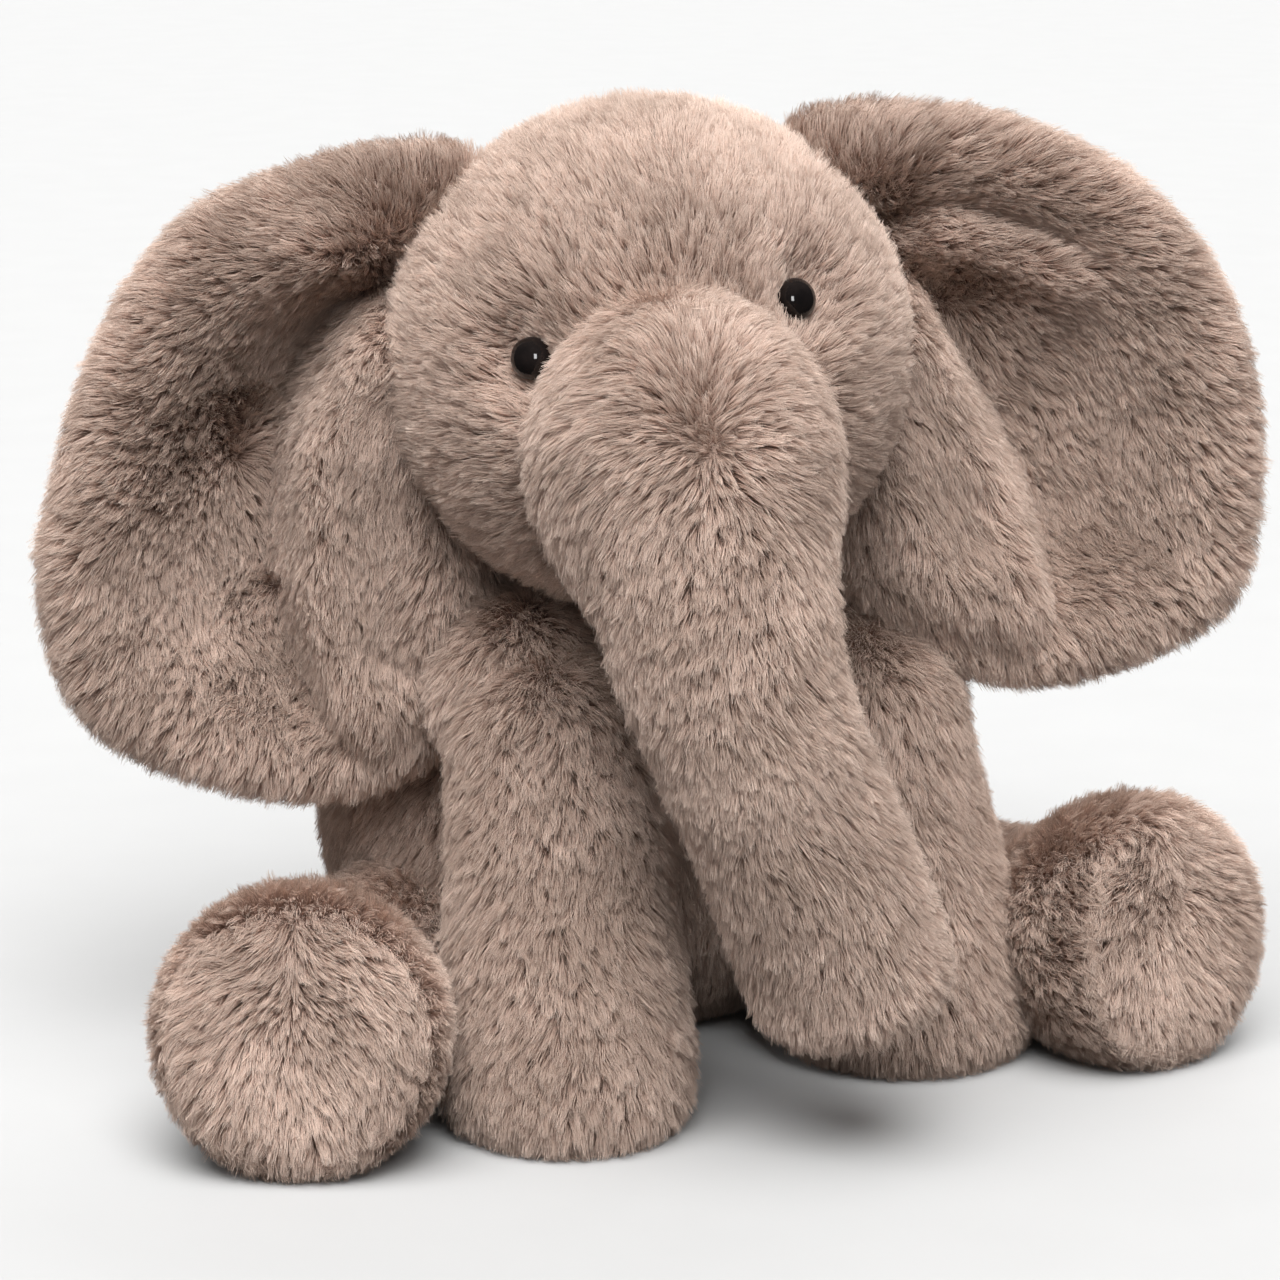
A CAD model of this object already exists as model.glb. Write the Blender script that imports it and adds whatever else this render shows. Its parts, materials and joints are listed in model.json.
import json
import math
import bpy
import numpy as np
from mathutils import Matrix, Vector, noise
from mathutils.kdtree import KDTree


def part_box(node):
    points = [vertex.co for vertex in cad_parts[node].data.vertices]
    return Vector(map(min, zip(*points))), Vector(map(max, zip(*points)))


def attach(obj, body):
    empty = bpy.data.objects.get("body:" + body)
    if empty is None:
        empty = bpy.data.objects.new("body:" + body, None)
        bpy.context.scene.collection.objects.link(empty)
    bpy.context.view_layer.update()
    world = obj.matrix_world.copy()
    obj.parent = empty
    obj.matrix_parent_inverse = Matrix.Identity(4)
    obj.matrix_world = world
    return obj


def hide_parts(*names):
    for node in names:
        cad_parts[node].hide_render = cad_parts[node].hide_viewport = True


# The looks of a seated plush elephant: each cover becomes a soft sewn skin with a deep pile on it.
# Shapes are worked out in millimetres in the CAD part's frame: +Z up, the animal looks along -Y,
# and its right side is -X. A skin lies a little inside its CAD cover, and the pile stands out of it.
# Only the belly, the shoulders, the muzzle and the left foreleg are stuffed fuller than their covers.

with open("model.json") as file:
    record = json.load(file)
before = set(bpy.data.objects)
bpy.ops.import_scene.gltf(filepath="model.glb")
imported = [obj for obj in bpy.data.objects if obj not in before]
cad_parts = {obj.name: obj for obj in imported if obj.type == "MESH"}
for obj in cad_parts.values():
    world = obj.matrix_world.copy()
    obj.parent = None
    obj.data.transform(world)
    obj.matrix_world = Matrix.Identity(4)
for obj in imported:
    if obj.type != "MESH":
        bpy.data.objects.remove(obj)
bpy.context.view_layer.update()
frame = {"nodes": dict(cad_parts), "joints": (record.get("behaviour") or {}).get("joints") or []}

MM = 0.001
SIDES = ("right", "left")
INSET = 1.2  # how far a skin lies inside its CAD cover
SOLE_LIFT = 2.2  # from the floor to the skin under a foot or the seat, for the pile beneath it
VOXEL = 1.5
PILE = 7.6  # length of a fibre
STRANDS_PER_MM2 = 6.5
STRAND_RADIUS = 0.07
CLUMP = 1.5  # width of a tuft
TUFT_PLACES_PER_MM2 = 1.8  # places from which the middles of the tufts are picked
HIDDEN = 7.0  # roots deeper than this in a neighbour are left out
ABOVE_FLOOR = 0.4
JOINTS = {joint["name"]: joint for joint in frame["joints"]}


# What the CAD frame gives: pivots, axes, boxes and slices.


def pivot(joint):
    return np.array(JOINTS[joint]["pos_m"], float) / MM


def axis(joint):
    way = np.array(JOINTS[joint]["axis"], float)
    return way / np.linalg.norm(way)


def box(node):
    low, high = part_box(node)
    return np.array(low) / MM, np.array(high) / MM


def middle(node):
    low, high = box(node)
    return (low + high) / 2


def cad_points(node):
    mesh = frame["nodes"][node].data
    flat = np.empty(len(mesh.vertices) * 3, np.float32)
    mesh.vertices.foreach_get("co", flat)
    return flat.reshape(-1, 3).astype(float) / MM


def unit(v):
    return v / np.linalg.norm(v, axis=-1, keepdims=True).clip(1e-9)


def across(way):
    """Two directions square to a direction."""
    helper = np.array([0.0, 0.0, 1.0]) if abs(way[2]) < 0.9 else np.array([1.0, 0.0, 0.0])
    first = unit(np.cross(way, helper))
    return first, np.cross(way, first)


def slice_of(node, origin, way):
    """Middle and mean radius of the outline a plane cuts from a CAD node."""
    mesh = frame["nodes"][node].data
    points = cad_points(node)
    ends = np.empty(len(mesh.edges) * 2, np.int64)
    mesh.edges.foreach_get("vertices", ends)
    a, b = ends.reshape(-1, 2).T
    height = (points - origin) @ way
    cut = (height[a] < 0) != (height[b] < 0)
    a, b = a[cut], b[cut]
    share = (height[a] / (height[a] - height[b]))[:, None]
    rim = points[a] + share * (points[b] - points[a]) - origin
    u, v = across(way)
    flat = np.stack([rim @ u, rim @ v], axis=1)
    low, high = flat.min(0), flat.max(0)
    mid = (low + high) / 2
    return origin + mid[0] * u + mid[1] * v, float((high - low).mean() / 2)


def spine(node, start, end, shares):
    """Stations (centre, radius) along a CAD limb between two points."""
    way = unit(end - start)
    rough = [slice_of(node, start + (end - start) * s, way)[0] for s in shares]
    stations = []
    for k, centre in enumerate(rough):
        before, after = rough[max(k - 1, 0)], rough[min(k + 1, len(rough) - 1)]
        stations.append(slice_of(node, centre, unit(after - before)))
    return stations


def catmull_rom(p0, p1, p2, p3, t):
    """The curve from p1 to p2, at share t."""
    square, cube = 2 * p0 - 5 * p1 + 4 * p2 - p3, 3 * p1 - p0 - 3 * p2 + p3
    return 0.5 * (2 * p1 + (p2 - p0) * t + square * t ** 2 + cube * t ** 3)


def smooth_line(stations, steps=4):
    """The same stations joined by a smooth curve."""
    values = np.array([[*centre, radius] for centre, radius in stations])
    padded = np.vstack([2 * values[0] - values[1], values, 2 * values[-1] - values[-2]])
    shares = np.arange(steps) / steps
    rows = [catmull_rom(*padded[k:k + 4], t) for k in range(len(values) - 1) for t in shares]
    rows.append(values[-1])
    return [(row[:3], row[3]) for row in rows]


SIDE, BACK, UP = axis("head_nod"), axis("head_tilt"), axis("right_ear_flap")
AXES = np.stack([SIDE, BACK, UP])
HEAD_RADII = np.array([55.0, 54.0, 53.0])


def head_centre():
    """The middle of the head's ellipsoid, from the sides of its box that no hollow cuts."""
    low, high = box("head_cover")
    reach = np.sqrt(((AXES * HEAD_RADII[:, None]) ** 2).sum(0))
    return np.array([(low[0] + high[0]) / 2, high[1] - reach[1], high[2] - reach[2]])


HEAD = head_centre()


def to_head(points):
    return (points - HEAD) @ AXES.T


def from_head(points):
    return HEAD + points @ AXES


# Distance fields: below 0 inside, in mm.


def smooth_min(a, b, k):
    h = np.clip(0.5 + 0.5 * (b - a) / k, 0, 1)
    return b + (a - b) * h - k * h * (1 - h)


def smooth_max(a, b, k):
    return -smooth_min(-a, -b, k)


def smooth_step(x):
    x = np.clip(x, 0, 1)
    return x * x * (3 - 2 * x)


def egg(points, centre, radii, axes=np.eye(3)):
    q = (points - centre) @ axes.T
    near = np.linalg.norm(q / radii, axis=1).clip(1e-6)
    slope = np.linalg.norm(q / np.square(radii), axis=1).clip(1e-6)
    return near * (near - 1) / slope


def ball(centre, radius):
    return lambda points: np.linalg.norm(points - centre, axis=1) - radius


def tube(points, stations):
    """A chain of tapered round segments."""
    best = np.full(len(points), 1e9)
    for (a, ra), (b, rb) in zip(stations, stations[1:]):
        ab = b - a
        t = np.clip(((points - a) @ ab) / (ab @ ab), 0, 1)
        gap = np.linalg.norm(points - a - t[:, None] * ab, axis=1) - (ra + (rb - ra) * t)
        best = np.minimum(best, gap)
    return best


def gradient(field, points, step=0.3):
    slopes = []
    for k in range(3):
        shift = np.zeros(3)
        shift[k] = step
        slopes.append((field(points + shift) - field(points - shift)) / (2 * step))
    return np.stack(slopes, axis=1)


def polygonise(field, low, high, cell):
    """Vertices and quads of the zero surface of a field, by surface nets, pulled onto the surface."""
    low, high = np.array(low) - 3 * cell, np.array(high) + 3 * cell
    count = np.ceil((high - low) / cell).astype(int) + 1
    lines = [low[k] + cell * np.arange(count[k]) for k in range(3)]
    grid = np.stack(np.meshgrid(*lines, indexing="ij"), axis=-1)
    value = np.concatenate([field(part.reshape(-1, 3)) for part in np.array_split(grid, 12, axis=0)])
    value = value.reshape(count)
    cells = count - 1
    total = np.zeros((int(np.prod(cells)), 3))
    hits = np.zeros(int(np.prod(cells)))
    quads = []
    for k in range(3):
        here = [slice(None)] * 3
        there = [slice(None)] * 3
        here[k], there[k] = slice(0, -1), slice(1, None)
        v0, v1 = value[tuple(here)], value[tuple(there)]
        where = np.argwhere((v0 < 0) != (v1 < 0))
        a, b = v0[tuple(where.T)], v1[tuple(where.T)]
        spot = where.astype(float)
        spot[:, k] += a / (a - b)
        u, w = [(1, 2), (2, 0), (0, 1)][k]
        corners = []
        for du, dw in ((-1, -1), (0, -1), (0, 0), (-1, 0)):
            index = where.copy()
            index[:, u] += du
            index[:, w] += dw
            flat = (index[:, 0] * cells[1] + index[:, 1]) * cells[2] + index[:, 2]
            np.add.at(total, flat, spot)
            np.add.at(hits, flat, 1)
            corners.append(flat)
        quad = np.stack(corners, axis=1)
        quad[a > 0] = quad[a > 0][:, ::-1]
        quads.append(quad)
    used = np.flatnonzero(hits)
    renumber = np.full(len(hits), -1)
    renumber[used] = np.arange(len(used))
    points = low + cell * total[used] / hits[used][:, None]
    for _ in range(3):
        slope = gradient(field, points)
        points = points - (field(points) / (slope ** 2).sum(1).clip(0.05))[:, None] * slope
    return points, renumber[np.concatenate(quads)]


# Skins.


class Skin:
    """The closed soft surface of a body: its field, points, quads and outward normals."""

    def __init__(self, body, field, low, high, stands_for):
        self.name, self.field, self.body = f"{body}_skin", field, body
        self.points, self.quads = polygonise(field, low, high, VOXEL)
        self.normals = unit(gradient(field, self.points))
        mesh = bpy.data.meshes.new(self.name)
        mesh.from_pydata((self.rough_points() * MM).tolist(), [], self.quads.tolist())
        mesh.polygons.foreach_set("use_smooth", [True] * len(mesh.polygons))
        mesh.update()
        made = bpy.data.objects.new(self.name, mesh)
        bpy.context.scene.collection.objects.link(made)
        mesh.materials.append(MATERIALS["pile_ground"])
        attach(made, body)
        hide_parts(*stands_for)

    def rough_points(self, height=0.45):
        """The points lifted in small tufts, as the ground of the pile is."""
        spots = [Vector(point) for point in self.points.tolist()]
        lift = [noise.noise(spot * 0.23) + 0.6 * noise.noise(spot * 0.5) for spot in spots]
        return self.points + self.normals * (height * np.array(lift))[:, None]


def limb_field(stations, sole, way, rounding):
    """A tube cut off flat at its sole, with a soft edge."""
    line = smooth_line(stations)
    end, radius = line[-1]
    line.append((end + way * (radius + 4), radius))

    def field(points):
        flat = (points - sole) @ way
        return smooth_max(tube(points, line), flat, rounding)
    return field


def around(stations, spare):
    """The box round stations, with room to spare."""
    low = np.min([centre - radius for centre, radius in stations], axis=0)
    high = np.max([centre + radius for centre, radius in stations], axis=0)
    return low - spare, high + spare


def inset(stations, amounts):
    return [(centre, radius - amount) for (centre, radius), amount in zip(stations, amounts)]


def foreleg(side):
    """Stations, sole and downward direction of a foreleg; the left one is fuller and leans outward."""
    node = f"{side}_foreleg"
    top = pivot(f"{node}_swing")
    sole = middle(f"{node}_panel")
    sole[2] = 0.0
    shares = (0.02, 0.2, 0.42, 0.64, 0.82, 0.93)
    stations = spine(f"{node}_cover", top, sole, shares)
    stations = inset([(top, stations[0][1])] + stations[1:], [INSET] * len(shares))
    if side == "left":
        fuller = (0.0, 0.4, 1.2, 2.0, 2.6, 2.8)
        stations = [(c + [1.1 * d, 0, 0], r + 0.9 * d) for (c, r), d in zip(stations, fuller)]
    return stations, sole + np.array([0, 0, SOLE_LIFT]), np.array([0.0, 0.0, -1.0])


def hindleg(side):
    """Stations, sole and direction of a hind leg."""
    node = f"{side}_hindleg"
    top = pivot(f"{node}_splay")
    sole = middle(f"{node}_panel")
    shares = (0.02, 0.22, 0.4, 0.58, 0.76, 0.88)
    stations = spine(f"{node}_cover", top, sole, shares)
    way = unit(sole - stations[-2][0])
    stations = inset([(top, stations[0][1])] + stations[1:], [INSET] * len(shares))
    return stations, sole + way * 1.0, way


def trunk():
    """Stations of the upper and lower trunk, the tip and the way it points."""
    root, bend = pivot("trunk_lift"), pivot("trunk_curl")
    tip = middle("trunk_lower_panel")
    upper = spine("trunk_upper_cover", root, bend, (0.03, 0.35, 0.68))
    lower = spine("trunk_lower_cover", bend, tip, (0.05, 0.3, 0.55, 0.78, 0.92))
    upper = inset([(root, upper[0][1])] + upper[1:], (0.0, 0.5, 1.0))
    lower = inset([(bend, lower[0][1])] + lower[1:], (INSET,) * 5)
    return upper, lower, tip, unit(tip - lower[-2][0])


# The ears: a padded bowl with a rolled rim, a raised inner flap and folds. All are drawn in the head's
# frame as x outward from its middle plane and z up. Outlines are at the tips of the pile.
EAR_RIM = {
    "right": [(26, 49), (43, 57), (65, 57), (89, 53), (107, 41), (122, 23), (134, 2), (143, -19),
              (145, -43), (139, -61), (124, -75), (101, -87), (80, -90), (62, -85), (46, -76),
              (38, -50), (36, -10), (24, 25)],
    "left": [(40, 42), (52, 45), (69, 42), (91, 34), (112, 20), (128, 0), (136, -22), (138, -47),
             (133, -75), (124, -91), (106, -99), (82, -101), (64, -97), (46, -86), (33, -62),
             (28, -20), (28, 20)],
}
# Each fold: its line, drawn so that the raised side is on its right, how high that side stands and how
# deep the hollow on the other side is.
EAR_FOLDS = {
    "right": [([(51, 29), (67, 16), (80, -3), (87, -25), (90, -48), (86, -72), (78, -92)], 18.0, 9.0)],
    "left": [([(62, 8), (72, -25), (80, -51), (82, -73), (80, -96)], 16.0, 5.0),
             ([(50, 22), (60, 19), (70, 20), (87, 12), (104, 2), (116, -10)], 9.0, 3.0)],
}
# Where an ear's stuffing stands up: x outward, z, reach, height.
EAR_PADS = {"right": [(64, 40, 17, 9.0)], "left": [(58, 30, 14, 7.0)]}
# Where an ear's pile parts and its roots show: x outward, z, reach.
EAR_PARTINGS = {
    "right": [(98, -10, 22), (92, -44, 13), (53, 30, 10)],
    "left": [(76, -8, 15), (62, 12, 9)],
}


def closed_curve(points, steps=6):
    """A smooth closed line through 2-D points."""
    values = np.array(points, float)
    around_k = [[values[(k + j - 1) % len(values)] for j in range(4)] for k in range(len(values))]
    return np.array([catmull_rom(*four, t) for four in around_k for t in np.arange(steps) / steps])


def open_curve(points, steps=5):
    """A smooth open line through 2-D points."""
    line = smooth_line([(np.array([x, z, 0.0]), 0.0) for x, z in points], steps)
    return np.array([centre[:2] for centre, _ in line])


def to_segments(q, line, closed):
    """Distance from 2-D points to a polyline, the side they lie on (left +) and the share along it."""
    a = line
    b = np.roll(line, -1, axis=0)
    if not closed:
        a, b = a[:-1], b[:-1]
    best = np.full(len(q), 1e9)
    sign = np.zeros(len(q))
    share = np.zeros(len(q))
    for k in range(len(a)):
        ab = b[k] - a[k]
        t = np.clip(((q - a[k]) @ ab) / (ab @ ab), 0, 1)
        off = q - a[k] - t[:, None] * ab
        gap = np.hypot(off[:, 0], off[:, 1])
        near = gap < best
        best = np.where(near, gap, best)
        turn = ab[0] * (q[:, 1] - a[k][1]) - ab[1] * (q[:, 0] - a[k][0])
        sign = np.where(near, np.sign(turn), sign)
        share = np.where(near, (k + t) / len(a), share)
    return best, sign, share


def inside_outline(q, line):
    count = np.zeros(len(q), int)
    for (x0, z0), (x1, z1) in zip(line, np.roll(line, -1, axis=0)):
        crosses = (z0 > q[:, 1]) != (z1 > q[:, 1])
        x = x0 + (q[:, 1] - z0) / (z1 - z0 if z1 != z0 else 1e-9) * (x1 - x0)
        count += crosses & (q[:, 0] < x)
    return count % 2 == 1


class Ear:
    """The form of one ear as tables over its own plane, and its distance field."""

    STEP = 1.0
    ROLL = 15.0  # width of the rolled rim
    THICK = 8.5  # half its thickness
    PILE_OUT = 5.5  # how far the pile stands out past the skin at the rim
    BOWL = 50.0  # from the rim to the middle of the bowl

    def __init__(self, side):
        self.side = side
        self.sign = -1 if side == "right" else 1
        covers = [cad_points(f"{side}_ear_{face}_cover") for face in ("front", "back")]
        points = to_head(np.vstack(covers))
        out = points[:, 0] * self.sign
        rim = points[out > out.max() - 3.0]
        self.rim_back = rim[:, 1].mean()
        centre = (out.max() - self.BOWL, (points[:, 2].min() + points[:, 2].max()) / 2)
        near = np.hypot(out - centre[0], points[:, 2] - centre[1]) < 9
        self.deep_back = points[near][:, 1].mean()
        self.low = np.array([10.0, -115.0])  # the corner of the tables, and their size
        self.shape = (155, 190)
        x = self.low[0] + self.STEP * np.arange(self.shape[0])
        z = self.low[1] + self.STEP * np.arange(self.shape[1])
        q = np.stack(np.meshgrid(x, z, indexing="ij"), axis=-1).reshape(-1, 2)
        outline = closed_curve(EAR_RIM[side])
        gap, _, _ = to_segments(q, outline, True)
        depth = np.where(inside_outline(q, outline), gap, -gap) - self.PILE_OUT
        relief = np.zeros(len(q))
        for line, height, hollow in EAR_FOLDS[side]:
            gap, turn, share = to_segments(q, open_curve(line), False)
            s = -gap * turn
            ends = smooth_step(share / 0.12) * smooth_step((1 - share) / 0.35)
            step = height * smooth_step((s - 1.0) / 8.0) * np.exp(-np.clip(s - 10, 0, None) / 34.0)
            dip = hollow * np.exp(-((np.clip(s, None, 4) + 1.0) / 13.0) ** 2) * smooth_step((8 - s) / 8)
            relief += (step - dip) * ends
        for x, z, reach, height in EAR_PADS[side]:
            relief += height * np.exp(-((q[:, 0] - x) ** 2 + (q[:, 1] - z) ** 2) / reach ** 2)
        self.depth = depth.reshape(self.shape)
        self.relief = relief.reshape(self.shape)

    def look_up(self, table, x, z):
        fx = np.clip((x - self.low[0]) / self.STEP, 0, self.shape[0] - 1.001)
        fz = np.clip((z - self.low[1]) / self.STEP, 0, self.shape[1] - 1.001)
        i, j = fx.astype(int), fz.astype(int)
        u, v = fx - i, fz - j
        return (table[i, j] * (1 - u) * (1 - v) + table[i + 1, j] * u * (1 - v)
                + table[i, j + 1] * (1 - u) * v + table[i + 1, j + 1] * u * v)

    def field(self, points):
        q = to_head(points)
        x, z = q[:, 0] * self.sign, q[:, 2]
        depth = self.look_up(self.depth, x, z)
        relief = self.look_up(self.relief, x, z)
        fade = smooth_step(depth / 16.0)
        mid = self.rim_back + (self.deep_back - self.rim_back) * smooth_step((depth + 4) / 42.0)
        mid = mid + np.clip(-relief, 0, None) * fade
        ahead = mid - q[:, 1]
        front = self.THICK - 1.5 * smooth_step((depth - 12) / 20) + np.clip(relief, 0, None) * fade
        thick = np.where(ahead > 0, front, self.THICK)
        edge = np.clip(self.ROLL - depth, 0, None) / self.ROLL
        return (np.sqrt(edge ** 2 + (ahead / thick) ** 2) - 1) * np.minimum(thick, self.ROLL)


# Materials.


def material(name, roughness):
    made = bpy.data.materials.new(name)
    made.use_nodes = True
    tree = made.node_tree
    shader = tree.nodes["Principled BSDF"]
    shader.inputs["Roughness"].default_value = roughness
    return made, tree, shader


def ramp(tree, factor, stops):
    node = tree.nodes.new("ShaderNodeValToRGB")
    tree.links.new(factor, node.inputs["Fac"])
    elements = node.color_ramp.elements
    for k, (place, colour) in enumerate(stops):
        element = elements[k] if k < 2 else elements.new(place)
        element.position = place
        element.color = (*colour, 1)
    return node


def noise_node(tree, scale, detail, coordinates):
    node = tree.nodes.new("ShaderNodeTexNoise")
    node.inputs["Scale"].default_value = scale
    node.inputs["Detail"].default_value = detail
    tree.links.new(coordinates, node.inputs["Vector"])
    return node


def mix(tree, kind, factor, a, b):
    node = tree.nodes.new("ShaderNodeMix")
    node.data_type = "RGBA"
    node.blend_type = kind
    node.inputs[0].default_value = factor
    tree.links.new(a, node.inputs[6])
    tree.links.new(b, node.inputs[7])
    return node.outputs[2]


def bump(tree, shader, height, strength, distance):
    node = tree.nodes.new("ShaderNodeBump")
    node.inputs["Strength"].default_value = strength
    node.inputs["Distance"].default_value = distance
    tree.links.new(height, node.inputs["Height"])
    tree.links.new(node.outputs["Normal"], shader.inputs["Normal"])


ROOT_BROWN = (0.29, 0.18, 0.135)
MID_BROWN = (0.76, 0.56, 0.465)
TIP_BEIGE = (0.93, 0.75, 0.64)


def pile_ground():
    """The knitted ground of the pile, tufted and streaked like the fur over it."""
    made, tree, shader = material("pile_ground", 0.95)
    place = tree.nodes.new("ShaderNodeTexCoord").outputs["Object"]
    tufts = noise_node(tree, 420, 4, place)
    patches = noise_node(tree, 40, 3, place)
    colour = ramp(tree, tufts.outputs["Fac"], [(0.3, ROOT_BROWN), (0.5, MID_BROWN), (0.72, TIP_BEIGE)])
    shade = ramp(tree, patches.outputs["Fac"], [(0.35, (0.82, 0.80, 0.79)), (0.65, (1, 1, 1))])
    both = mix(tree, "MULTIPLY", 1.0, colour.outputs["Color"], shade.outputs["Color"])
    tree.links.new(both, shader.inputs["Base Color"])
    shader.inputs["Sheen Weight"].default_value = 0.35
    bump(tree, shader, tufts.outputs["Fac"], 0.8, 0.0012)
    return made


def pile_strand():
    """One fibre: dark at its root, light at its tip, with a tone of its own and of its tuft."""
    made, tree, shader = material("pile_strand", 0.62)
    hair = tree.nodes.new("ShaderNodeHairInfo")
    along = ramp(tree, hair.outputs["Intercept"],
                 [(0.0, ROOT_BROWN), (0.45, MID_BROWN), (0.85, TIP_BEIGE), (1.0, (0.96, 0.80, 0.70))])
    tone = tree.nodes.new("ShaderNodeAttribute")
    tone.attribute_name = "tone"
    own = ramp(tree, hair.outputs["Random"], [(0.0, (0.84, 0.82, 0.81)), (1.0, (1.0, 1.0, 1.0))])
    tuft = ramp(tree, tone.outputs["Fac"], [(0.0, (0.68, 0.65, 0.63)), (1.0, (1.0, 1.0, 1.0))])
    first = mix(tree, "MULTIPLY", 1.0, along.outputs["Color"], own.outputs["Color"])
    both = mix(tree, "MULTIPLY", 1.0, first, tuft.outputs["Color"])
    tree.links.new(both, shader.inputs["Base Color"])
    shader.inputs["Specular IOR Level"].default_value = 0.25
    return made


def eye_gloss():
    """Near-black glass-like plastic with the faintest depth of colour and swirl."""
    made, tree, shader = material("eye_gloss", 0.05)
    place = tree.nodes.new("ShaderNodeTexCoord").outputs["Object"]
    swirl = noise_node(tree, 220, 3, place)
    colour = ramp(tree, swirl.outputs["Fac"], [(0.3, (0.006, 0.005, 0.005)), (0.8, (0.016, 0.012, 0.011))])
    tree.links.new(colour.outputs["Color"], shader.inputs["Base Color"])
    shader.inputs["Specular IOR Level"].default_value = 0.3
    shader.inputs["Coat Weight"].default_value = 0.15
    shader.inputs["Coat Roughness"].default_value = 0.02
    bump(tree, shader, swirl.outputs["Fac"], 0.02, 0.0001)
    return made


def label_weave():
    made, tree, shader = material("label_weave", 0.5)
    place = tree.nodes.new("ShaderNodeTexCoord").outputs["Object"]
    weave = tree.nodes.new("ShaderNodeTexWave")
    weave.inputs["Scale"].default_value = 900
    weave.inputs["Distortion"].default_value = 1.5
    tree.links.new(place, weave.inputs["Vector"])
    colour = ramp(tree, weave.outputs["Fac"], [(0.0, (0.72, 0.69, 0.64)), (1.0, (0.90, 0.88, 0.84))])
    tree.links.new(colour.outputs["Color"], shader.inputs["Base Color"])
    bump(tree, shader, weave.outputs["Fac"], 0.5, 0.0002)
    return made


def floor_paper():
    """Pale paper that throws only part of its light back up."""
    made, tree, shader = material("floor_paper", 0.9)
    place = tree.nodes.new("ShaderNodeTexCoord").outputs["Object"]
    grain = noise_node(tree, 30, 2, place)
    colour = ramp(tree, grain.outputs["Fac"], [(0.3, (0.545, 0.545, 0.543)), (0.7, (0.555, 0.555, 0.553))])
    dim = tree.nodes.new("ShaderNodeRGB")
    dim.outputs[0].default_value = (0.15, 0.14, 0.135, 1)
    both = mix(tree, "MIX", 0.0, colour.outputs["Color"], dim.outputs[0])
    path = tree.nodes.new("ShaderNodeLightPath")
    tree.links.new(path.outputs["Is Diffuse Ray"], both.node.inputs[0])
    tree.links.new(both, shader.inputs["Base Color"])
    shader.inputs["Specular IOR Level"].default_value = 0.1
    return made


KINDS = (pile_ground, pile_strand, eye_gloss, label_weave, floor_paper)
MATERIALS = {made.name: made for made in (kind() for kind in KINDS)}


# The pile.


def sample(skin, per_mm2, rng):
    """Random places on a skin, evenly by area, with their normals."""
    tris = np.vstack([skin.quads[:, [0, 1, 2]], skin.quads[:, [0, 2, 3]]])
    a, b, c = (skin.points[tris[:, k]] for k in range(3))
    area = np.linalg.norm(np.cross(b - a, c - a), axis=1) / 2
    total = np.cumsum(area)
    count = int(total[-1] * per_mm2)
    pick = np.searchsorted(total, rng.random(count) * total[-1]).clip(0, len(tris) - 1)
    u, v = rng.random(count), rng.random(count)
    flip = u + v > 1
    u[flip], v[flip] = 1 - u[flip], 1 - v[flip]
    w = 1 - u - v
    share = [w[:, None], u[:, None], v[:, None]]
    places = sum(share[k] * skin.points[tris[pick, k]] for k in range(3))
    normals = unit(sum(share[k] * skin.normals[tris[pick, k]] for k in range(3)))
    return places, normals


def tuft_centres(places, normals):
    """One place per small cell of space: the middles of the tufts."""
    cell = np.floor(places / (CLUMP * 0.88)).astype(np.int64)
    key = (cell[:, 0] * 4099 + cell[:, 1]) * 4099 + cell[:, 2]
    _, first = np.unique(key, return_index=True)
    return places[first], normals[first]


def nearest(places, centres):
    tree = KDTree(len(centres))
    for k, centre in enumerate(centres.tolist()):
        tree.insert(centre, k)
    tree.balance()
    find = tree.find
    return np.array([find(place)[1] for place in places.tolist()])


LEVELS = np.linspace(0, 1, 6)


def paths(roots, normals, comb, length, lean, curl):
    """Points along fibres that rise from their roots and lie over the way they are combed."""
    flat = comb - (comb * normals).sum(1, keepdims=True) * normals
    flat = unit(flat)
    points = [roots]
    for a, b in zip(LEVELS, LEVELS[1:]):
        angle = (lean + curl * (a + b) / 2)[:, None]
        way = normals * np.cos(angle) + flat * np.sin(angle)
        points.append(points[-1] + (b - a) * length[:, None] * way)
    return np.stack(points, axis=1)


def turn_about(v, normals, angle):
    c, s = np.cos(angle)[:, None], np.sin(angle)[:, None]
    return v * c + np.cross(normals, v) * s


def slow_noise(points, scale, seed):
    shift = Vector((seed * 7.1, seed * 3.3, seed * 5.7))
    return np.array([noise.noise(Vector(p) / scale + shift) for p in points.tolist()])


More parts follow.
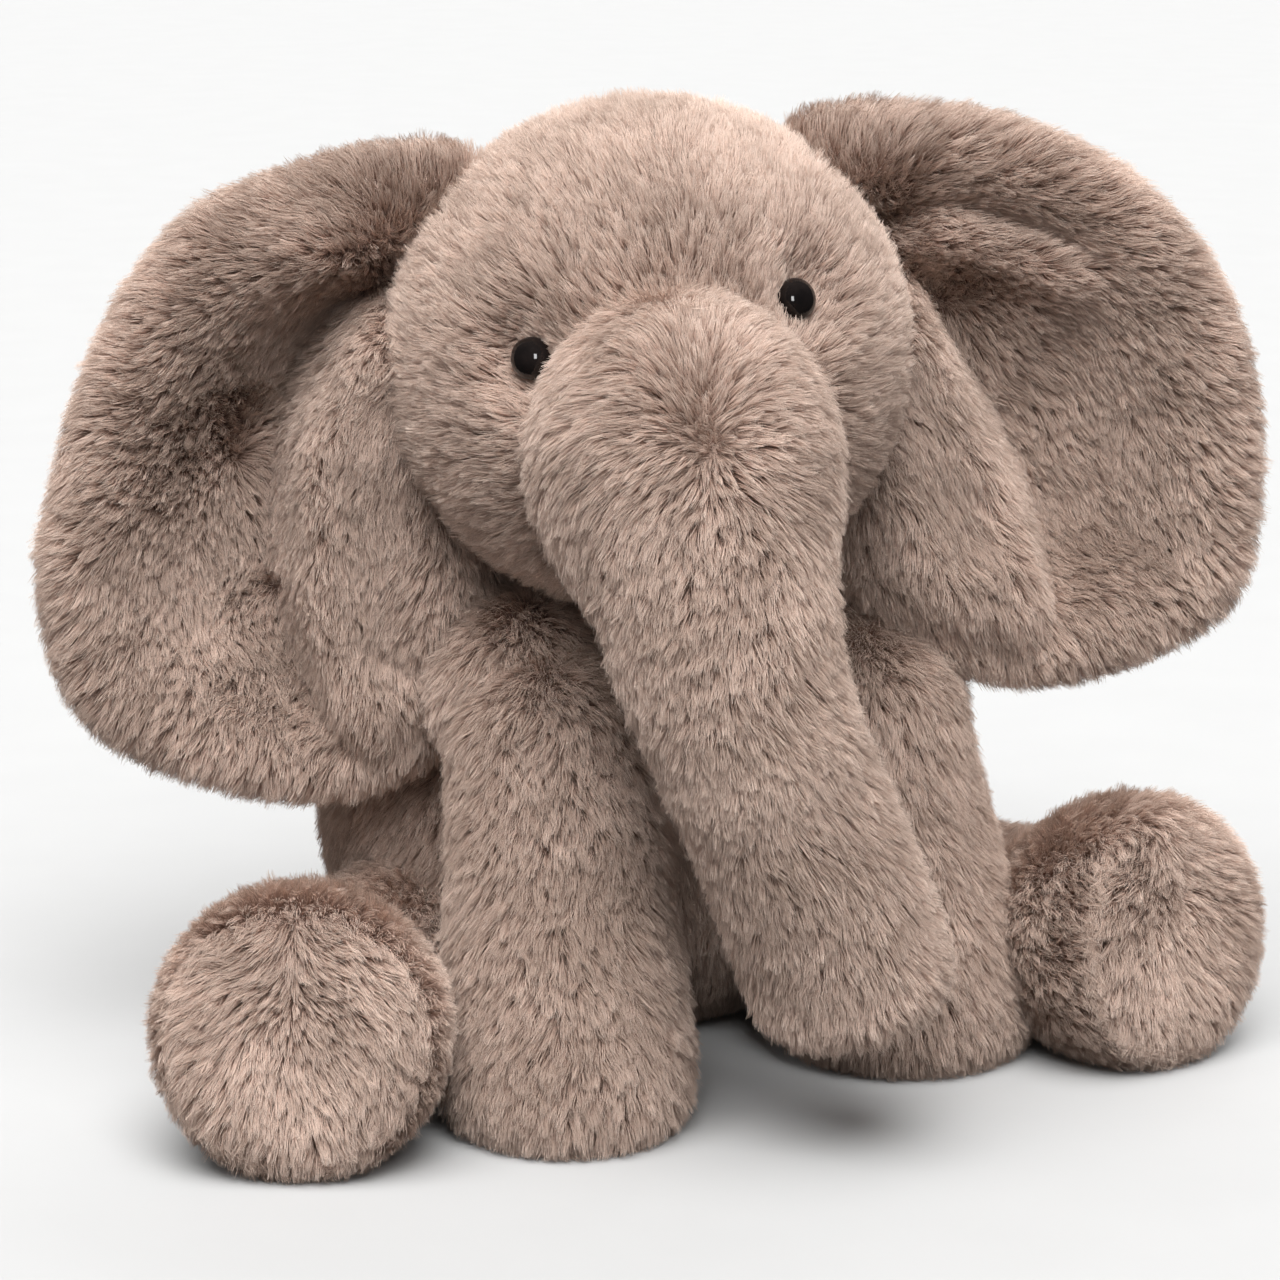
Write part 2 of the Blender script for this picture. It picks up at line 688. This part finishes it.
def grow(skin, comb, seed, keep, style=None, fade=0.0):
    """Grows the pile of one skin.

    comb gives its directions, keep says which roots are used, style changes its length and lean from
    place to place, and fade darkens its tufts.
    """
    rng = np.random.default_rng(seed)
    roots, normals = sample(skin, STRANDS_PER_MM2, rng)
    centres, centre_normals = tuft_centres(*sample(skin, TUFT_PLACES_PER_MM2, rng))
    stays = keep(roots)
    roots, normals = roots[stays], normals[stays]
    tuft = nearest(roots, centres)

    def shape(places, spread):
        length = PILE * (1 + 0.10 * rng.standard_normal(len(places))).clip(0.75, 1.2)
        lean = math.radians(20) + math.radians(spread) * rng.standard_normal(len(places))
        curl = np.full(len(places), math.radians(52))
        if style is not None:
            scale, extra = style(places)
            length = length * scale
            lean = lean + extra
        return length, lean, curl

    swirl = 0.5 * slow_noise(centres, 16.0, seed) + 0.35 * slow_noise(centres, 6.0, seed + 1)
    turn = swirl + math.radians(13) * rng.standard_normal(len(centres))
    tuft_comb = turn_about(unit(comb(centres)), centre_normals, turn)
    length, lean, curl = shape(centres, 8)
    guides = paths(centres, centre_normals, tuft_comb, length, lean, curl)
    own_comb = tuft_comb[tuft] + 0.25 * rng.standard_normal((len(roots), 3))
    length, lean, curl = shape(roots, 9)
    own = paths(roots, normals, own_comb, length, lean, curl)
    pull = (0.50 + 0.26 * rng.random(len(roots)))[:, None, None] * (LEVELS[None, :, None] ** 1.4)
    strands = own + pull * (guides[tuft] - own)
    strands[:, :, 2] = strands[:, :, 2].clip(ABOVE_FLOOR, None)
    patches = 0.6 * slow_noise(centres, 22.0, seed + 2) + 0.5 * slow_noise(centres, 8.0, seed + 3)
    tone = (0.56 - fade + 0.30 * rng.standard_normal(len(centres)) + patches).clip(0, 1)
    hair(skin, strands, tone[tuft])


def hair(skin, strands, tone):
    """Makes the fibres as hair curves that move with their skin."""
    curves = bpy.data.hair_curves.new(f"{skin.name}_pile")
    count, steps = strands.shape[:2]
    curves.add_curves([steps] * count)
    curves.attributes["position"].data.foreach_set("vector", (strands * MM).astype(np.float32).ravel())
    taper = STRAND_RADIUS * MM * (1 - 0.78 * LEVELS ** 1.5)
    radius = curves.attributes.get("radius") or curves.attributes.new("radius", "FLOAT", "POINT")
    radius.data.foreach_set("value", np.tile(taper, count).astype(np.float32))
    shade = curves.attributes.new("tone", "FLOAT", "CURVE")
    shade.data.foreach_set("value", tone.astype(np.float32))
    curves.materials.append(MATERIALS["pile_strand"])
    made = bpy.data.objects.new(f"{skin.name}_pile", curves)
    bpy.context.scene.collection.objects.link(made)
    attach(made, skin.body)


# Build the skins.

UPPER, LOWER, TIP, TIP_WAY = trunk()
MUZZLE = UPPER[0][0] + 4.0 * UP - 2.5 * BACK  # the dome over the root of the trunk
MUZZLE_RADII = np.array([28.0, 25.5, 32.0])
MUZZLE_ROOM = np.array([0, 34, 12])  # how far it may reach past the head's cover
EYE_DEPTH = 7.2  # from the top of the CAD eye down to the seat of the drawn one
SOCKET_OUT, SOCKET_RADIUS = 9.6, 12.0  # the ball that hollows a socket: how far out, and its radius
EYE_WAY = {side: unit(middle(f"{side}_eye") - HEAD) for side in SIDES}
EYE_SEAT = {}
for side in SIDES:
    tops = (cad_points(f"{side}_eye") - HEAD) @ EYE_WAY[side]
    EYE_SEAT[side] = HEAD + EYE_WAY[side] * (tops.max() - EYE_DEPTH)


def head_field(points):
    skull = egg(points, HEAD, HEAD_RADII - INSET, AXES)
    both = smooth_min(skull, egg(points, MUZZLE, MUZZLE_RADII - 1.5, AXES), 5.0)
    for side in SIDES:
        socket = ball(EYE_SEAT[side] + EYE_WAY[side] * SOCKET_OUT, SOCKET_RADIUS)
        both = smooth_max(both, -socket(points), 5.0)
    return both


def torso_parts():
    """Middles and radii of the belly and the chest, as shares of the cover's size.

    The belly is 5 mm wider on each side, as the stuffing pushes it out.
    """
    low, high = box("torso_cover")
    size = high - low
    belly = np.array([(low[0] + high[0]) / 2, high[1] - 0.44 * size[1], 0.38 * high[2]])
    belly_radii = np.array([size[0] / 2 + 5.0, 0.44 * size[1] + 2.0, 0.44 * high[2]])
    chest = np.array([belly[0], low[1] + 0.29 * size[1], 0.70 * high[2]])
    chest_radii = np.array([0.36 * size[0], 0.29 * size[1], 0.30 * high[2]])
    return belly, belly_radii, chest, chest_radii


BELLY, BELLY_RADII, CHEST, CHEST_RADII = torso_parts()
SHOULDERS = [ball(pivot(f"{side}_foreleg_swing") + [0, 15, 10], 19.0) for side in SIDES]


def torso_field(points):
    belly = egg(points, BELLY, BELLY_RADII - INSET)
    both = smooth_min(belly, egg(points, CHEST, CHEST_RADII - INSET), 14.0)
    for shoulder in SHOULDERS:
        both = smooth_min(both, shoulder(points), 10.0)
    return smooth_max(both, SOLE_LIFT - points[:, 2], 6.0)


def tail_stations():
    """The tail lies in an arc round the back, as its cover does."""
    low, high = box("tail_cover")
    root = pivot("tail_wag")
    end = np.array([high[0] - 4, high[1] - 5, low[2] + 5])
    mid = np.array([(root[0] + end[0]) / 2, high[1] - 6, 0.55 * root[2] + 0.45 * end[2]])
    return [(root - np.array([0, 3, 0]), 3.6), (mid, 3.2), (end, 4.2)]


TAIL = tail_stations()
TAIL_LINE = smooth_line(TAIL)
EARS = {side: Ear(side) for side in SIDES}
FORE = {side: foreleg(side) for side in SIDES}
HIND = {side: hindleg(side) for side in SIDES}

NECK = pivot("head_turn")
TRUNK_LINE = smooth_line(UPPER + [LOWER[0]])
TIP_SHORT = 8.0  # the trunk's skin ends this far short of its CAD tip


def trunk_upper_field(points):
    dome = egg(points, MUZZLE, MUZZLE_RADII, AXES)
    return smooth_min(dome, tube(points, TRUNK_LINE), 9.0)


def ear_bounds(side):
    """Room for an ear: its CAD covers, and where it reaches into the head."""
    faces = np.array([box(f"{side}_ear_{face}_cover") for face in ("front", "back")])
    inner = [from_head(np.array([EARS[side].sign * 26.0, y, z])) for y in (0, 30) for z in (-60, 50)]
    low = np.minimum(faces[:, 0].min(0) - 14, np.min(inner, axis=0))
    return low, np.maximum(faces[:, 1].max(0) + 14, np.max(inner, axis=0))


SKINS = {}


def add_skin(body, field, bounds, nodes):
    """Makes the skin of a body within bounds; it stands for the CAD nodes."""
    SKINS[body] = Skin(body, field, *bounds, nodes)


def parts(body, *kinds):
    return [f"{body}_{kind}" for kind in kinds]


head_low, head_high = box("head_cover")
add_skin("torso", torso_field, box("torso_cover"),
         parts("torso", "cover", "filling") + ["seat_pouch", "seat_pellets", "back_seam_cord"])
add_skin("head", head_field, (head_low - MUZZLE_ROOM, head_high),
         parts("head", "cover", "filling") + ["right_eye_washer", "left_eye_washer"])
add_skin("trunk_upper", trunk_upper_field, around(UPPER + [LOWER[0]], 12),
         parts("trunk_upper", "cover", "filling"))
add_skin("trunk_lower", limb_field(LOWER, TIP - TIP_WAY * TIP_SHORT, TIP_WAY, 7.0), around(LOWER, 8),
         parts("trunk_lower", "cover", "filling", "panel"))
add_skin("tail", lambda p: tube(p, TAIL_LINE), around(TAIL, 4), parts("tail", "cover", "filling"))
for side in SIDES:
    fore, hind, ear = f"{side}_foreleg", f"{side}_hindleg", f"{side}_ear"
    add_skin(fore, limb_field(*FORE[side], 8.0), around(FORE[side][0], 8),
             parts(fore, "cover", "filling", "panel"))
    add_skin(hind, limb_field(*HIND[side], 9.0), around(HIND[side][0], 10),
             parts(hind, "cover", "filling", "panel"))
    add_skin(ear, EARS[side].field, ear_bounds(side), parts(ear, "front_cover", "back_cover", "filling"))
for body, radius, node in (("neck", 16.0, "neck_cover"), ("neck_core", 12.0, "neck_filling")):
    add_skin(body, ball(NECK, radius), (NECK - radius, NECK + radius), [node])


# Comb the pile.

WHORL = from_head(np.array([4.3, -53.7, -11.1]))  # where the pile of the head opens
WHORL_WAY = np.array([-0.078, -0.946, 0.313]) @ AXES
DROOP = np.array([0, 0, -0.45])  # how the pile of a limb hangs
SOLE_WHORL = np.array([0, 0, 10.0])  # from the middle of a sole to where its pile parts
EAR_ROOTS = {"right": (44.0, 14.0, 8.0), "left": (44.0, 14.0, -2.0)}  # where an ear's pile starts from
FORELEG_FADE = 0.38


def muzzle_whorl():
    """The same whorl carried out, forward and a little up, to the top of the muzzle."""
    steps = WHORL + np.arange(0, 30, 0.5)[:, None] * WHORL_WAY
    return steps[trunk_upper_field(steps) < 0][-1]


MUZZLE_WHORL = muzzle_whorl()


def comb_head(points):
    return unit(points - WHORL)


def along_line(points, line):
    """The direction of the nearest part of a limb's middle line."""
    best = np.full(len(points), 1e9)
    way = np.zeros((len(points), 3))
    for (a, _), (b, _) in zip(line, line[1:]):
        ab = b - a
        t = np.clip(((points - a) @ ab) / (ab @ ab), 0, 1)
        gap = np.linalg.norm(points - a - t[:, None] * ab, axis=1)
        near = gap < best
        best = np.where(near, gap, best)
        way = np.where(near[:, None], unit(ab), way)
    return way


def comb_trunk(points):
    down = along_line(points, UPPER + LOWER)
    gap = np.linalg.norm(points - MUZZLE_WHORL, axis=1)[:, None]
    return unit(unit(points - MUZZLE_WHORL) * np.exp(-(gap / 30.0) ** 2) * 2.6 + down)


def comb_limb(stations, sole, way):
    line = smooth_line(stations)

    def comb(points):
        ahead = (points - sole) @ way
        face = smooth_step((ahead + 5.0) / 5.0)[:, None]
        out = unit(points - sole - SOLE_WHORL)
        return unit(along_line(points, line) * (1 - face) + out * face * [0.5, 0.5, 0.3] + DROOP)
    return comb


def style_sole(sole):
    """Shorter where the pile parts on the sole, so the roots show there."""
    def style(points):
        near = np.exp(-(np.linalg.norm(points - sole - SOLE_WHORL, axis=1) / 9.0) ** 2)
        return 1 - 0.35 * near, -0.25 * near
    return style


def comb_torso(points):
    out = unit(points - BELLY)
    return unit(0.35 * out * [1, 1, 0] + [0, 0, -1.0])


def comb_ear(side):
    outward, back, up = EAR_ROOTS[side]
    root = from_head(np.array([EARS[side].sign * outward, back, up]))

    def comb(points):
        ways = unit(points - root) + [0, 0, -0.28]
        for centre, near in partings(side, points):
            ways = ways + 2.2 * near[:, None] * unit(points - centre)
        return unit(ways)
    return comb


def partings(side, points):
    """The middle of each parting of an ear's pile, and how close points are to it, 0 to 1."""
    ear = EARS[side]
    q = to_head(points)
    for x, z, reach in EAR_PARTINGS[side]:
        gap = np.hypot(q[:, 0] * ear.sign - x, q[:, 2] - z)
        front = q[:, 1] < ear.deep_back + 3
        yield from_head(np.array([x * ear.sign, ear.deep_back, z])), np.exp(-(gap / reach) ** 2) * front


def style_ear(side):
    def style(points):
        near = sum(close for _, close in partings(side, points)).clip(0, 1)
        return 1 - 0.3 * near, -0.1 * near
    return style


def from_eyes(points):
    """Distance of points from the seat of each eye."""
    return {side: np.linalg.norm(points - EYE_SEAT[side], axis=1) for side in SIDES}


def style_head(points):
    """Short and laid back round the eyes, though it hangs over their inner sides."""
    gaps = from_eyes(points)
    inner = sum((((points - EYE_SEAT[side]) @ unit(WHORL - EYE_SEAT[side])) > 0) * (gaps[side] < 14)
                for side in SIDES)
    crease = np.exp(-(np.clip(SKINS["trunk_upper"].field(points) - 1.0, 0, None) / 4.0) ** 2)
    eye_free = smooth_step((np.minimum(*gaps.values()) - 5) / 9)
    scale = 0.45 + 0.4 * inner * (1 - eye_free) + 0.55 * eye_free
    return scale * (1 - 0.2 * crease), 0.35 * (1 - eye_free)


def style_trunk(points):
    """The pile opens in a whorl on the muzzle and shows its roots there."""
    near = np.exp(-(np.linalg.norm(points - MUZZLE_WHORL, axis=1) / 9.0) ** 2)
    return 1 - 0.45 * near, -0.15 * near


def keep_clear_of_eyes(points):
    return (np.minimum(*from_eyes(points).values()) > 3.8) & shown("head")(points)


def shown(own):
    """Roots that no neighbour hides deep inside it."""
    def keep(points):
        ok = np.ones(len(points), bool)
        for name, skin in SKINS.items():
            if name != own and "neck" not in name:
                ok &= skin.field(points) > -HIDDEN
        return ok
    return keep


grow(SKINS["torso"], comb_torso, 11, shown("torso"))
grow(SKINS["head"], comb_head, 12, keep_clear_of_eyes, style_head)
grow(SKINS["trunk_upper"], comb_trunk, 13, shown("trunk_upper"), style_trunk)
grow(SKINS["trunk_lower"], comb_trunk, 14, shown("trunk_lower"))
grow(SKINS["tail"], lambda p: along_line(p, TAIL_LINE), 15, shown("tail"))
for k, side in enumerate(SIDES):
    fore, hind, ear = f"{side}_foreleg", f"{side}_hindleg", f"{side}_ear"
    grow(SKINS[fore], comb_limb(*FORE[side]), 20 + k, shown(fore), fade=FORELEG_FADE)
    grow(SKINS[hind], comb_limb(*HIND[side]), 30 + k, shown(hind), style_sole(HIND[side][1]))
    grow(SKINS[ear], comb_ear(side), 40 + k, shown(ear), style_ear(side))


# Eyes and label.


def link_mesh(name, points, faces, kind, body, nodes):
    mesh = bpy.data.meshes.new(name)
    mesh.from_pydata((np.array(points) * MM).tolist(), [], faces)
    mesh.polygons.foreach_set("use_smooth", [True] * len(mesh.polygons))
    mesh.materials.append(MATERIALS[kind])
    made = bpy.data.objects.new(name, mesh)
    bpy.context.scene.collection.objects.link(made)
    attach(made, body)
    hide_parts(*nodes)


def eye(side, radius=4.6, dome=3.7, turns=40):
    """A domed eye: a dome on a short straight wall and a flat back, as one closed turning."""
    way = EYE_WAY[side]
    u, v = across(way)
    quarter = np.linspace(0, math.pi / 2, 14)
    profile = [(radius * math.sin(a), 0.9 + dome * math.cos(a)) for a in quarter]
    profile += [(radius, 0.0), (radius - 0.6, -0.8), (0.0, -0.8)]
    rings = profile[1:-1]
    points = [EYE_SEAT[side] + way * profile[0][1]]
    for r, h in rings:
        for a in np.linspace(0, 2 * math.pi, turns, endpoint=False):
            points.append(EYE_SEAT[side] + way * h + r * (math.cos(a) * u + math.sin(a) * v))
    points.append(EYE_SEAT[side] + way * profile[-1][1])
    faces = [[0, 1 + k, 1 + (k + 1) % turns] for k in range(turns)]
    for j in range(len(rings) - 1):
        for k in range(turns):
            a, b = 1 + j * turns + k, 1 + j * turns + (k + 1) % turns
            faces.append([a, a + turns, b + turns, b])
    last = 1 + (len(rings) - 1) * turns
    faces += [[last + (k + 1) % turns, last + k, len(points) - 1] for k in range(turns)]
    link_mesh(f"{side}_domed_eye", points, faces, "eye_gloss", "head", [f"{side}_eye"])


def hang(points, faces, held, frames=45):
    """Points of a sheet of ribbon left to hang from its held edge, by cloth simulation.

    It is simulated a hundred times as large, as the solver is not made for things this small.
    """
    grown = 100.0
    mesh = bpy.data.meshes.new("ribbon")
    mesh.from_pydata((np.array(points) * MM * grown).tolist(), [], faces)
    sheet = bpy.data.objects.new("ribbon", mesh)
    scene = bpy.context.scene
    scene.collection.objects.link(sheet)
    sheet.vertex_groups.new(name="held").add(held, 1.0, "REPLACE")
    cloth = sheet.modifiers.new("cloth", "CLOTH")
    cloth.settings.vertex_group_mass = "held"
    cloth.settings.quality = 8
    cloth.settings.mass = 0.25
    cloth.settings.tension_stiffness = 25
    cloth.settings.compression_stiffness = 25
    cloth.settings.bending_stiffness = 4.0
    cloth.settings.air_damping = 3.0
    cloth.point_cache.frame_start, cloth.point_cache.frame_end = 1, frames
    for frame_number in range(1, frames + 1):
        scene.frame_set(frame_number)
    fallen = sheet.evaluated_get(bpy.context.evaluated_depsgraph_get()).to_mesh()
    flat = np.empty(len(fallen.vertices) * 3, np.float32)
    fallen.vertices.foreach_get("co", flat)
    bpy.data.objects.remove(sheet)
    bpy.data.meshes.remove(mesh)
    scene.frame_set(1)
    return flat.reshape(-1, 3).astype(float) / (MM * grown)


def label(rows=15, cols=11, sewn_rows=4, wide=14.0, long=15.0, thick=0.45):
    """A small blank ribbon label, sewn in at the back and hanging limp."""
    low, high = box("sewn_label")
    centre = (low + high) / 2
    out = unit((centre - BELLY) * [1, 1, 0])
    side = np.cross(out, [0, 0, 1])
    sheet = []
    for i in range(rows):
        for j in range(cols):
            t, s = i / (rows - 1), j / (cols - 1) - 0.5
            ruffle = np.array([0, 0, 0.5 * math.sin(5.0 * s + 0.6)])
            sheet.append(centre + out * ((t - 0.5) * long + 4.5) + side * s * wide + ruffle)
    corners = [i * cols + j for i in range(rows - 1) for j in range(cols - 1)]
    quads = [[a, a + 1, a + cols + 1, a + cols] for a in corners]
    sheet = hang(sheet, quads, list(range(sewn_rows * cols)))
    grid = sheet.reshape(rows, cols, 3)
    normals = unit(np.cross(np.gradient(grid, axis=0), np.gradient(grid, axis=1))).reshape(-1, 3)
    points = np.vstack([sheet + normals * thick, sheet - normals * thick])
    size = rows * cols
    faces = [quad[::-1] for quad in quads] + [[a + size for a in quad] for quad in quads]
    rim = list(range(cols)) + [i * cols + cols - 1 for i in range(1, rows)]
    rim += [(rows - 1) * cols + j for j in range(cols - 2, -1, -1)]
    rim += [i * cols for i in range(rows - 2, 0, -1)]
    for a, b in zip(rim, rim[1:] + rim[:1]):
        faces.append([a, b, b + size, a + size])
    link_mesh("blank_label", points, faces, "label_weave", "torso", ["sewn_label"])


for side in SIDES:
    eye(side)
label()


# Stage: a pale floor, soft studio light and the camera.


def window(name, place, target, size, watts):
    """A bright window that only gloss mirrors."""
    data = bpy.data.lights.new(name, "AREA")
    data.shape = "RECTANGLE"
    data.size, data.size_y = size
    data.energy = watts
    light = bpy.data.objects.new(name, data)
    light.location = place
    light.rotation_euler = (Vector(target) - Vector(place)).to_track_quat("-Z", "Y").to_euler()
    light.visible_diffuse = False
    bpy.context.scene.collection.objects.link(light)


bpy.ops.mesh.primitive_plane_add(size=60)
floor = bpy.context.object
floor.name = "floor"
floor.visible_glossy = False
floor.data.materials.append(MATERIALS["floor_paper"])


def studio_world(fill, backdrop, mirrored):
    """Even light from all round; the backdrop and what gloss mirrors have strengths of their own."""
    world = bpy.data.worlds.new("studio")
    world.use_nodes = True
    tree = world.node_tree
    background = tree.nodes["Background"]
    path = tree.nodes.new("ShaderNodeLightPath")
    strength = fill
    for flag, value in (("Is Glossy Ray", mirrored), ("Is Camera Ray", backdrop)):
        node = tree.nodes.new("ShaderNodeMix")
        tree.links.new(path.outputs[flag], node.inputs[0])
        if isinstance(strength, float):
            node.inputs[2].default_value = strength
        else:
            tree.links.new(strength, node.inputs[2])
        node.inputs[3].default_value = value
        strength = node.outputs[0]
    tree.links.new(strength, background.inputs["Strength"])
    background.inputs["Color"].default_value = (1, 1, 1, 1)
    bpy.context.scene.world = world


def direction(azimuth, elevation):
    """The way to something turned from the front by azimuth and raised by elevation, in degrees."""
    a, e = math.radians(azimuth), math.radians(elevation)
    return Vector((math.sin(a) * math.cos(e), -math.cos(a) * math.cos(e), math.sin(e)))


def soft_sun(name, azimuth, elevation, strength, spread):
    """Even light from a wide patch of sky, seen in no mirror."""
    data = bpy.data.lights.new(name, "SUN")
    data.energy = strength
    data.angle = math.radians(spread)
    light = bpy.data.objects.new(name, data)
    light.rotation_euler = direction(azimuth, elevation).to_track_quat("Z", "Y").to_euler()
    light.visible_glossy = False
    bpy.context.scene.collection.objects.link(light)


studio_world(fill=0.26, backdrop=0.94, mirrored=0.04)
soft_sun("key", azimuth=-35, elevation=66, strength=3.2, spread=55)
soft_sun("front", azimuth=-12, elevation=48, strength=1.75, spread=36)
soft_sun("rim", azimuth=150, elevation=42, strength=0.8, spread=50)
window("window", place=(-0.35, -1.0, 0.50), target=(0, 0, 0.15), size=(0.26, 0.40), watts=6.0)

HALF_VIEW = 0.1504  # metres from the middle of the picture to its edge, at the aim
DISTANCE = 1.0
camera_data = bpy.data.cameras.new("camera")
camera = bpy.data.objects.new("camera", camera_data)
bpy.context.scene.collection.objects.link(camera)
bpy.context.scene.camera = camera
aim = Vector((0, -0.002, 0.094))
back = direction(-22, 13)
camera.location = aim + back * DISTANCE
camera.rotation_euler = (-back).to_track_quat("-Z", "Y").to_euler()
camera_data.sensor_width = 36
camera_data.lens = 18 / math.tan(math.atan(HALF_VIEW / DISTANCE))
camera_data.clip_start = 0.05

bpy.context.scene.view_settings.view_transform = "Standard"
bpy.context.scene.render.film_transparent = False
